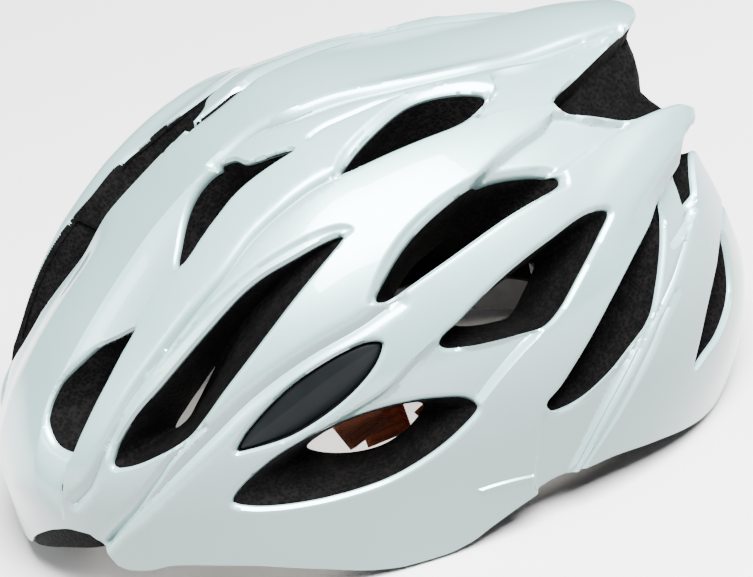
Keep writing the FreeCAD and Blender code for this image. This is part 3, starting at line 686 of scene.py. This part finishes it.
# The share by which each opening narrows across and along, towards a place of its own on the head side.
TAPER = {"brow_outer": (0.8, 0.72, (37, -66)), "mid_side": (0.36, 0.36, (50, 33)),
         "lower_side": (0.34, 0.377, (78.7, -19.5)), "upper_side": (0.3, 0.3, (43, 14)),
         "brow_inner": (0.3, 0.3, (24, -64)), "crown_inner": (0.3, 0.3, (17, -28)),
         "crown_outer": (0.3, 0.3, (22, 12)), "rear_side": (0.2, 0.2, (58, 47))}


SCOOP_STEP, SCOOP_BOWL = 7.0, 8.5       # depth of the scoop at its edge, and more towards its middle
INLAY_POCKET = 4.4
LINER_MINIMUM = 6.0
THROUGH_THICKNESS = (0, 0.04, 0.12, 0.3, 0.6, 0.9, 0.97, 1)


def build_liner():
    """The foam: it follows the shell outside, the head inside, and its openings narrow towards the head."""
    vents = both([closed_spline(v) for v in VENTS.values()])
    rim = rim_loop(FOAM_RIM, 540)
    scoop = scoop_loop()
    inlay = closed_spline(INLAY)
    features = [(loop, True, (0.6,)) for loop in vents]
    features.append((scoop, True, (0, -0.35, -0.7, -1.1, -1.6, 0.5)))
    features += [(loop, True, (0, -0.5)) for loop in both([inlay])]
    features += [(line, closed, offsets[:5]) for line, closed, offsets in feature_lines()]
    for wall in both([open_spline(SECOND_RIB_WALL), open_spline(NUB_END)]):
        features.append((wall, False, (0, 0.5, -0.5, 1, -1)))
    uv, faces = triangulate(rim, vents, features, LINER_SPACING, LINER_FINE)
    folded = np.stack([np.abs(uv[:, 0]), uv[:, 1]], -1)
    points = body_point(folded)
    # the foam keeps below the lowest shell in its neighbourhood, so it never shows through
    around = [(0, 0), (0.8, 0), (-0.8, 0), (0, 0.8), (0, -0.8),
              (0.6, 0.6), (-0.6, 0.6), (0.6, -0.6), (-0.6, -0.6)]
    low = np.min([relief(uv + np.array(step)) for step in around], axis=0)
    sink = SHELL_WALL + FOAM_GAP - low
    away = distance_to(uv, body_point(uv), scoop, True, 30.0)
    bowl = SCOOP_STEP * ease(away / 1.6) + SCOOP_BOWL * (1 - np.exp(-away / 7.0))
    bowl *= 0.3 + 0.7 * ease((63 - uv[:, 1]) / 11)
    sink += np.where(inside_loop(uv, scoop), bowl, 0)
    away = distance_to(folded, points, inlay, True)
    sink += np.where(inside_loop(folded, inlay), INLAY_POCKET * ease(away / 0.6), 0)
    outer = np.maximum(body_radius(uv) - sink, cavity_radius(uv) + LINER_MINIMUM)
    shift = np.zeros_like(uv)
    for name, (across, along, aim) in TAPER.items():
        for sign in (1, -1):
            loop = closed_spline(VENTS[name]) * [sign, 1]
            gap = np.linalg.norm(uv[:, None, :] - loop[None, ::3, :], axis=2).min(1)
            pull = ease(1 - gap / 5.0)[:, None] * [across, along]
            shift += pull * (np.array(aim) * [sign, 1] - uv)
    layers = []
    for t in THROUGH_THICKNESS:
        moved = uv + shift * t
        layers.append(CENTRE + direction(moved) * (outer + (cavity_radius(moved) - outer) * t)[:, None])
    verts, solid = slab(orient(uv, faces), layers)
    return make_object("foam_liner", verts, solid, 30)


# ------------------------------------------------------------------ materials

def material(name):
    """New material with its node tree and its shader."""
    mat = bpy.data.materials.new(name)
    mat.use_nodes = True
    return mat, mat.node_tree, mat.node_tree.nodes["Principled BSDF"]


def node(tree, kind, **values):
    """New node: in_Some_Name sets the input "Some Name", any other word sets a property."""
    made = tree.nodes.new(kind)
    for key, value in values.items():
        if key.startswith("in_"):
            made.inputs[key[3:].replace("_", " ")].default_value = value
        else:
            setattr(made, key, value)
    return made


def ramp(tree, start, dark, end, light):
    """Colour ramp between two tones."""
    made = node(tree, "ShaderNodeValToRGB")
    for stop, position, colour in zip(made.color_ramp.elements, (start, end), (dark, light)):
        stop.position = position
        stop.color = (*colour, 1)
    return made


def adjust(made, **values):
    """Sets inputs of a node: Some_Name sets the input "Some Name"."""
    for key, value in values.items():
        made.inputs[key.replace("_", " ")].default_value = value


def on_surface(tree, *textures):
    """Fixes the textures to the piece."""
    place = node(tree, "ShaderNodeTexCoord")
    for texture in textures:
        tree.links.new(place.outputs["Object"], texture.inputs["Vector"])


def pearl_white():
    """White pearl lacquer: cool tint, faint mottled flake, orange-peel in the clear coat, and painted shade
    that darkens faces turning towards the ground.
    """
    mat, tree, shader = material("pearl_white")
    flake = node(tree, "ShaderNodeTexNoise", in_Scale=2400.0, in_Detail=2.0)
    drift = node(tree, "ShaderNodeTexNoise", in_Scale=14.0, in_Detail=2.0)
    blend = node(tree, "ShaderNodeMath", operation="MULTIPLY_ADD")
    blend.inputs[1].default_value = 0.35
    tone = ramp(tree, 0.3, (0.33, 0.56, 0.55), 1.0, (0.46, 0.72, 0.705))
    peel = node(tree, "ShaderNodeTexNoise", in_Scale=330.0, in_Detail=1.0)
    bump = node(tree, "ShaderNodeBump", in_Strength=0.05, in_Distance=0.0002)
    on_surface(tree, flake, drift, peel)
    tree.links.new(flake.outputs["Fac"], blend.inputs[0])
    tree.links.new(drift.outputs["Fac"], blend.inputs[2])
    tree.links.new(blend.outputs["Value"], tone.inputs["Fac"])
    # painted shade: the base colour is scaled darker where the shell's face turns towards the ground
    facing = node(tree, "ShaderNodeNewGeometry")
    parts = node(tree, "ShaderNodeSeparateXYZ")
    turn = node(tree, "ShaderNodeMapRange", interpolation_type="SMOOTHSTEP")
    adjust(turn, From_Min=-0.05, From_Max=0.66, To_Min=0.22, To_Max=1.0)
    painted_shade = node(tree, "ShaderNodeVectorMath", operation="SCALE")
    tree.links.new(facing.outputs["Normal"], parts.inputs["Vector"])
    tree.links.new(parts.outputs["Z"], turn.inputs["Value"])
    tree.links.new(tone.outputs["Color"], painted_shade.inputs[0])
    tree.links.new(turn.outputs["Result"], painted_shade.inputs["Scale"])
    tree.links.new(painted_shade.outputs["Vector"], shader.inputs["Base Color"])
    tree.links.new(peel.outputs["Fac"], bump.inputs["Height"])
    tree.links.new(bump.outputs["Normal"], shader.inputs["Coat Normal"])
    adjust(shader, Roughness=0.34, Metallic=0.35, Coat_Weight=1.0, Coat_Roughness=0.03, Coat_IOR=1.55)
    return mat


def bead_foam():
    """Black expanded foam: fused beads, dull."""
    mat, tree, shader = material("black_bead_foam")
    beads = node(tree, "ShaderNodeTexVoronoi", feature="F1", in_Scale=760.0)
    cloud = node(tree, "ShaderNodeTexNoise", in_Scale=180.0, in_Detail=3.0)
    mix = node(tree, "ShaderNodeMath", operation="MULTIPLY")
    tone = ramp(tree, 0.12, (0.0004, 0.0004, 0.0005), 0.42, (0.0038, 0.0034, 0.0033))
    bump = node(tree, "ShaderNodeBump", in_Strength=0.6, in_Distance=0.0004)
    on_surface(tree, beads, cloud)
    tree.links.new(beads.outputs["Distance"], mix.inputs[0])
    tree.links.new(cloud.outputs["Fac"], mix.inputs[1])
    tree.links.new(mix.outputs["Value"], tone.inputs["Fac"])
    tree.links.new(tone.outputs["Color"], shader.inputs["Base Color"])
    tree.links.new(beads.outputs["Distance"], bump.inputs["Height"])
    tree.links.new(bump.outputs["Normal"], shader.inputs["Normal"])
    adjust(shader, Roughness=0.8, Specular_IOR_Level=0.06)
    return mat


def moulded_plastic():
    """Black moulded plastic: fine grain, uneven gloss."""
    mat, tree, shader = material("moulded_black_plastic")
    grain = node(tree, "ShaderNodeTexNoise", in_Scale=1500.0, in_Detail=3.0)
    wear = node(tree, "ShaderNodeTexNoise", in_Scale=60.0, in_Detail=2.0)
    tone = ramp(tree, 0.35, (0.012, 0.012, 0.013), 0.7, (0.030, 0.030, 0.032))
    rough = node(tree, "ShaderNodeMapRange", in_To_Min=0.34, in_To_Max=0.56)
    bump = node(tree, "ShaderNodeBump", in_Strength=0.25, in_Distance=0.0001)
    on_surface(tree, grain, wear)
    tree.links.new(wear.outputs["Fac"], tone.inputs["Fac"])
    tree.links.new(tone.outputs["Color"], shader.inputs["Base Color"])
    tree.links.new(wear.outputs["Fac"], rough.inputs["Value"])
    tree.links.new(rough.outputs["Result"], shader.inputs["Roughness"])
    tree.links.new(grain.outputs["Fac"], bump.inputs["Height"])
    tree.links.new(bump.outputs["Normal"], shader.inputs["Normal"])
    return mat


def grey_gloss():
    """Dark insert: smooth, nearly black, faint drift of tone."""
    mat, tree, shader = material("grey_gloss")
    drift = node(tree, "ShaderNodeTexNoise", in_Scale=40.0, in_Detail=2.0)
    tone = ramp(tree, 0.3, (0.0035, 0.0042, 0.0045), 0.75, (0.0065, 0.0075, 0.008))
    on_surface(tree, drift)
    tree.links.new(drift.outputs["Fac"], tone.inputs["Fac"])
    tree.links.new(tone.outputs["Color"], shader.inputs["Base Color"])
    adjust(shader, Roughness=0.3, Specular_IOR_Level=0.04, Coat_Weight=0.012, Coat_Roughness=0.1)
    return mat


def woven(name, dark, light, scale, distance, sheen):
    """Cloth: crossed threads as bump, mottled colour, soft sheen."""
    mat, tree, shader = material(name)
    warp = node(tree, "ShaderNodeTexWave", bands_direction="X", in_Scale=scale, in_Distortion=1.5)
    weft = node(tree, "ShaderNodeTexWave", bands_direction="DIAGONAL", in_Scale=scale * 0.8,
                in_Distortion=1.5)
    cross = node(tree, "ShaderNodeMath", operation="MULTIPLY")
    fuzz = node(tree, "ShaderNodeTexNoise", in_Scale=scale * 3.0, in_Detail=3.0)
    total = node(tree, "ShaderNodeMath", operation="ADD")
    tone = ramp(tree, 0.3, dark, 1.2 / 1.3, light)
    bump = node(tree, "ShaderNodeBump", in_Strength=0.7, in_Distance=distance)
    on_surface(tree, warp, weft, fuzz)
    tree.links.new(warp.outputs["Fac"], cross.inputs[0])
    tree.links.new(weft.outputs["Fac"], cross.inputs[1])
    tree.links.new(cross.outputs["Value"], total.inputs[0])
    tree.links.new(fuzz.outputs["Fac"], total.inputs[1])
    tree.links.new(total.outputs["Value"], tone.inputs["Fac"])
    tree.links.new(tone.outputs["Color"], shader.inputs["Base Color"])
    tree.links.new(total.outputs["Value"], bump.inputs["Height"])
    tree.links.new(bump.outputs["Normal"], shader.inputs["Normal"])
    adjust(shader, Roughness=0.85, Sheen_Weight=sheen, Sheen_Roughness=0.5)
    return mat


def plated_steel():
    """Bright screw steel with brushed gloss."""
    mat, tree, shader = material("plated_steel")
    brush = node(tree, "ShaderNodeTexNoise", in_Scale=900.0, in_Detail=2.0)
    rough = node(tree, "ShaderNodeMapRange", in_To_Min=0.2, in_To_Max=0.42)
    on_surface(tree, brush)
    tree.links.new(brush.outputs["Fac"], rough.inputs["Value"])
    tree.links.new(rough.outputs["Result"], shader.inputs["Roughness"])
    adjust(shader, Base_Color=(0.55, 0.56, 0.58, 1), Metallic=1.0)
    return mat


# ------------------------------------------------------------------ smaller pieces

BODY_OF = {n: body for body, names in frame["record"]["behaviour"]["bodies"].items() for n in names}


def finish_piece(obj, node_name, mat):
    """Gives the piece its material and puts it in the place of its CAD node."""
    obj.data.materials.clear()
    obj.data.materials.append(mat)
    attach(obj, BODY_OF[node_name])
    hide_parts(node_name)
    return obj


def side_inlay(name, sign, mat):
    """Glossy insert set into the shell, folded along its length."""
    loop = closed_spline([(61 + (u - 61) * 0.94, -27 + (v + 27) * 0.975) for u, v in INLAY])
    rows = [(loop, True, (-0.3, -0.6, -1.0, -1.5))]
    fold = open_spline([(59.6, -10), (60.4, -20), (60.8, -32), (60, -44)])
    rows.append((fold, False, (0, 0.3, -0.3)))
    uv, faces = triangulate(loop, [], rows, 0.8, 0.4)
    points = body_point(uv)
    edge = distance_to(uv, points, loop, True)
    crease = distance_to(uv, points, fold, False)
    side = uv[:, 0] - np.interp(uv[:, 1], fold[::-1, 1], fold[::-1, 0])
    sink = 2.2 + 0.9 * (1 - np.sqrt(1 - np.clip(1 - edge / 1.1, 0, 1)**2 * 0.98))
    sink += np.where(side > 0, 0.30, 0.12) * crease
    ray = direction(uv)
    radius = body_radius(uv)
    layers = [CENTRE + ray * (radius - sink - t)[:, None] for t in (0, 0.8, 1.6)]
    verts, solid = slab(orient(uv, faces), layers)
    if sign < 0:
        verts = verts * [-1, 1, 1]
        solid = [tuple(reversed(f)) for f in solid]
    return finish_piece(make_object(name + "_skin", verts, solid, 24), name, mat)


def webbing(name, mat):
    """Woven strap: rounded selvedges, ribs across, a slight bow along its length."""
    corner = np.array([v.co for v in NODES[name].data.vertices]) * 1000
    middle = corner.mean(0)
    _, _, axes = np.linalg.svd(corner - middle)
    length, width, thick = (np.ptp((corner - middle) @ axis) for axis in axes)
    along, across = axes[0], axes[1]
    normal = np.cross(along, across)
    count, ring = int(length / 0.55), 22
    turn = np.arange(ring) / ring * 2 * math.pi
    flat_x = np.sign(np.cos(turn)) * np.abs(np.cos(turn))**0.35
    flat_z = np.sign(np.sin(turn)) * np.abs(np.sin(turn))**0.8
    verts = []
    for k in range(count + 1):
        t = k / count
        end = min(1.0, 4 * min(t, 1 - t) * length / 6 + 0.55)
        rib = 1 + 0.10 * (-1)**k
        bow = 0.45 * math.sin(math.pi * t) * math.sin(2.2 * math.pi * t + len(name))
        place = middle + along * (t - 0.5) * (length - 0.1)
        x = flat_x * (width / 2 - 0.15 * (k % 2))
        z = flat_z * (thick / 2 - 0.12) * rib * end
        z = z + 0.10 * np.cos(x * 2 * math.pi / 3.4) * np.sign(flat_z) * (np.abs(flat_x) < 0.97) + bow * 0.5
        verts.append(place + np.outer(x, across) + np.outer(z, normal))
    solid = []
    for k in range(count):
        for j in range(ring):
            a, b = k * ring + j, k * ring + (j + 1) % ring
            solid.append((a, b, b + ring, a + ring))
    solid.append(tuple(range(ring))[::-1])
    solid.append(tuple(count * ring + j for j in range(ring)))
    obj = make_object(name + "_web", np.vstack(verts), solid, 50)
    return finish_piece(obj, name, mat)


PAD_INSET = 0.0009          # the cloth starts this far inside the CAD pad, m
PAD_SWELL = 0.002           # and swells by no more than this, m


def soft_pad(name, mat):
    """Comfort pad: the CAD solid, remeshed, then inflated as cloth."""
    mesh = NODES[name].data.copy()
    obj = bpy.data.objects.new(name + "_soft", mesh)
    bpy.context.scene.collection.objects.link(obj)
    obj.matrix_world = NODES[name].matrix_world.copy()
    remesh = obj.modifiers.new("voxels", "REMESH")
    remesh.mode = "VOXEL"
    remesh.voxel_size = 0.0021
    settle(obj)
    start = points_of(obj)
    start -= np.array([v.normal for v in obj.data.vertices]) * PAD_INSET
    put_points(obj, start)
    cloth = obj.modifiers.new("cloth", "CLOTH")
    cloth.settings.use_pressure = True
    cloth.settings.uniform_pressure_force = 4.0
    cloth.settings.effector_weights.gravity = 0
    cloth.settings.quality = 4
    for step in range(1, 21):
        bpy.context.scene.frame_set(step)
    settle(obj)
    bpy.context.scene.frame_set(1)
    move = points_of(obj) - start
    size = np.linalg.norm(move, axis=1)
    move *= np.minimum(1, PAD_SWELL / np.maximum(size, 1e-9))[:, None]
    put_points(obj, start + move)
    smooth = obj.modifiers.new("smooth", "SMOOTH")
    smooth.factor = 0.5
    smooth.iterations = 3
    settle(obj)
    fine = obj.modifiers.new("fine", "SUBSURF")
    fine.levels = 1
    fine.render_levels = 1
    settle(obj)
    obj.data.polygons.foreach_set("use_smooth", [True] * len(obj.data.polygons))
    finish_piece(obj, name, mat)
    return obj


def settle(obj):
    """Applies the object's modifiers."""
    shaped = obj.evaluated_get(bpy.context.evaluated_depsgraph_get())
    mesh = bpy.data.meshes.new_from_object(shaped)
    obj.modifiers.clear()
    obj.data = mesh


def points_of(obj):
    """The mesh's points as an array, in metres."""
    flat = np.empty(len(obj.data.vertices) * 3)
    obj.data.vertices.foreach_get("co", flat)
    return flat.reshape(-1, 3)


def put_points(obj, points):
    obj.data.vertices.foreach_set("co", points.ravel())
    obj.data.update()


def moulded(name, mat, radius):
    """The CAD part with rounded moulded edges."""
    obj = bpy.data.objects.new(name + "_moulded", NODES[name].data.copy())
    bpy.context.scene.collection.objects.link(obj)
    obj.matrix_world = NODES[name].matrix_world.copy()
    form = bmesh.new()
    form.from_mesh(obj.data)
    bmesh.ops.remove_doubles(form, verts=form.verts, dist=1e-6)
    bmesh.ops.dissolve_limit(form, angle_limit=0.02, verts=form.verts, edges=form.edges)
    form.to_mesh(obj.data)
    form.free()
    bevel = obj.modifiers.new("edges", "BEVEL")
    bevel.width = radius / 1000
    bevel.segments = 3
    bevel.limit_method = "ANGLE"
    bevel.angle_limit = math.radians(35)
    bevel.use_clamp_overlap = True
    settle(obj)
    obj.data.polygons.foreach_set("use_smooth", [True] * len(obj.data.polygons))
    obj.data.set_sharp_from_angle(angle=math.radians(40))
    return finish_piece(obj, name, mat)


# ------------------------------------------------------------------ studio

def make_floor():
    """Wide pale floor, just under the helmet."""
    mesh = bpy.data.meshes.new("floor")
    reach, level = 6.0, -0.0006
    corners = [(-reach, -reach, level), (reach, -reach, level), (reach, reach, level), (-reach, reach, level)]
    mesh.from_pydata(corners, [], [(0, 1, 2, 3)])
    floor = bpy.data.objects.new("floor", mesh)
    bpy.context.scene.collection.objects.link(floor)
    mat, _, shader = material("floor_white")
    adjust(shader, Base_Color=(0.9, 0.9, 0.9, 1), Roughness=0.9)
    mesh.materials.append(mat)


def make_light(name, place, size, power, aim=(0, 0, 0.07), colour=(1, 1, 1)):
    """Square soft light, aimed at the helmet unless told otherwise."""
    light = bpy.data.lights.new(name, "AREA")
    light.shape = "SQUARE"
    light.size = size
    light.energy = power
    light.color = colour
    holder = bpy.data.objects.new(name, light)
    holder.location = place
    holder.rotation_euler = (Vector(aim) - Vector(place)).to_track_quat("-Z", "Y").to_euler()
    bpy.context.scene.collection.objects.link(holder)
    return holder


def make_studio():
    make_floor()
    world = bpy.data.worlds.new("studio")
    world.use_nodes = True
    sky = world.node_tree.nodes["Background"]
    adjust(sky, Color=(0.93, 0.97, 1, 1), Strength=0.3)
    bpy.context.scene.world = world
    make_light("top", (1.0, 0.25, 1.8), 1.3, 300)
    make_light("front", (0.5, -1.7, 1.3), 0.8, 14)
    # a faint lamp in the hollow for the head, so that what shows through the vents can be made out
    inside = make_light("inside", (0, -0.02, 0.085), 0.06, 0.12, (0, -0.02, 0), (1, 0.96, 0.88))
    inside.visible_camera = False


# ------------------------------------------------------------------ build

make_camera()
shell = build_shell()
foam = bead_foam()
shell.data.materials.append(pearl_white())
# the shell's second material, the black foam, is painted shade on the channel wall and in the spine groove
shell.data.materials.append(foam)
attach(shell, "helmet")
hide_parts("outer_shell")
liner = build_liner()
liner.data.materials.append(foam)
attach(liner, "helmet")
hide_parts("eps_liner")

gloss = grey_gloss()
side_inlay("side_inlay_left", 1, gloss)
side_inlay("side_inlay_right", -1, gloss)
strap_cloth = woven("strap_webbing", (0.20, 0.030, 0.008), (0.50, 0.115, 0.035), 700.0, 0.0002, 0.3)
for end in ("front", "rear", "chin"):
    for word in ("left", "right"):
        webbing("%s_strap_%s" % (end, word), strap_cloth)
knit = woven("pad_knit", (0.010, 0.010, 0.011), (0.034, 0.034, 0.037), 420.0, 0.0004, 0.5)
for name in ("brow_pad", "crown_pad", "rib_pad_left", "rib_pad_right", "side_pad_left", "side_pad_right",
             "rear_pad", "cradle_pads"):
    soft_pad(name, knit)
plastic = moulded_plastic()
for name in ("strap_anchor_front_left", "strap_anchor_front_right", "strap_anchor_rear_left",
             "strap_anchor_rear_right", "strap_divider_left", "strap_divider_right", "divider_lever_left",
             "divider_lever_right", "buckle_socket", "buckle_clip", "buckle_prong_front", "buckle_prong_rear",
             "temple_anchor_left", "temple_anchor_right", "rear_cradle"):
    moulded(name, plastic, 0.35)
for name in ("swivel_left", "swivel_right", "band_left", "band_right", "dial_knob", "dial_pinion"):
    NODES[name].data.materials.clear()
    NODES[name].data.materials.append(plastic)
NODES["cradle_screws"].data.materials.clear()
NODES["cradle_screws"].data.materials.append(plated_steel())
make_studio()
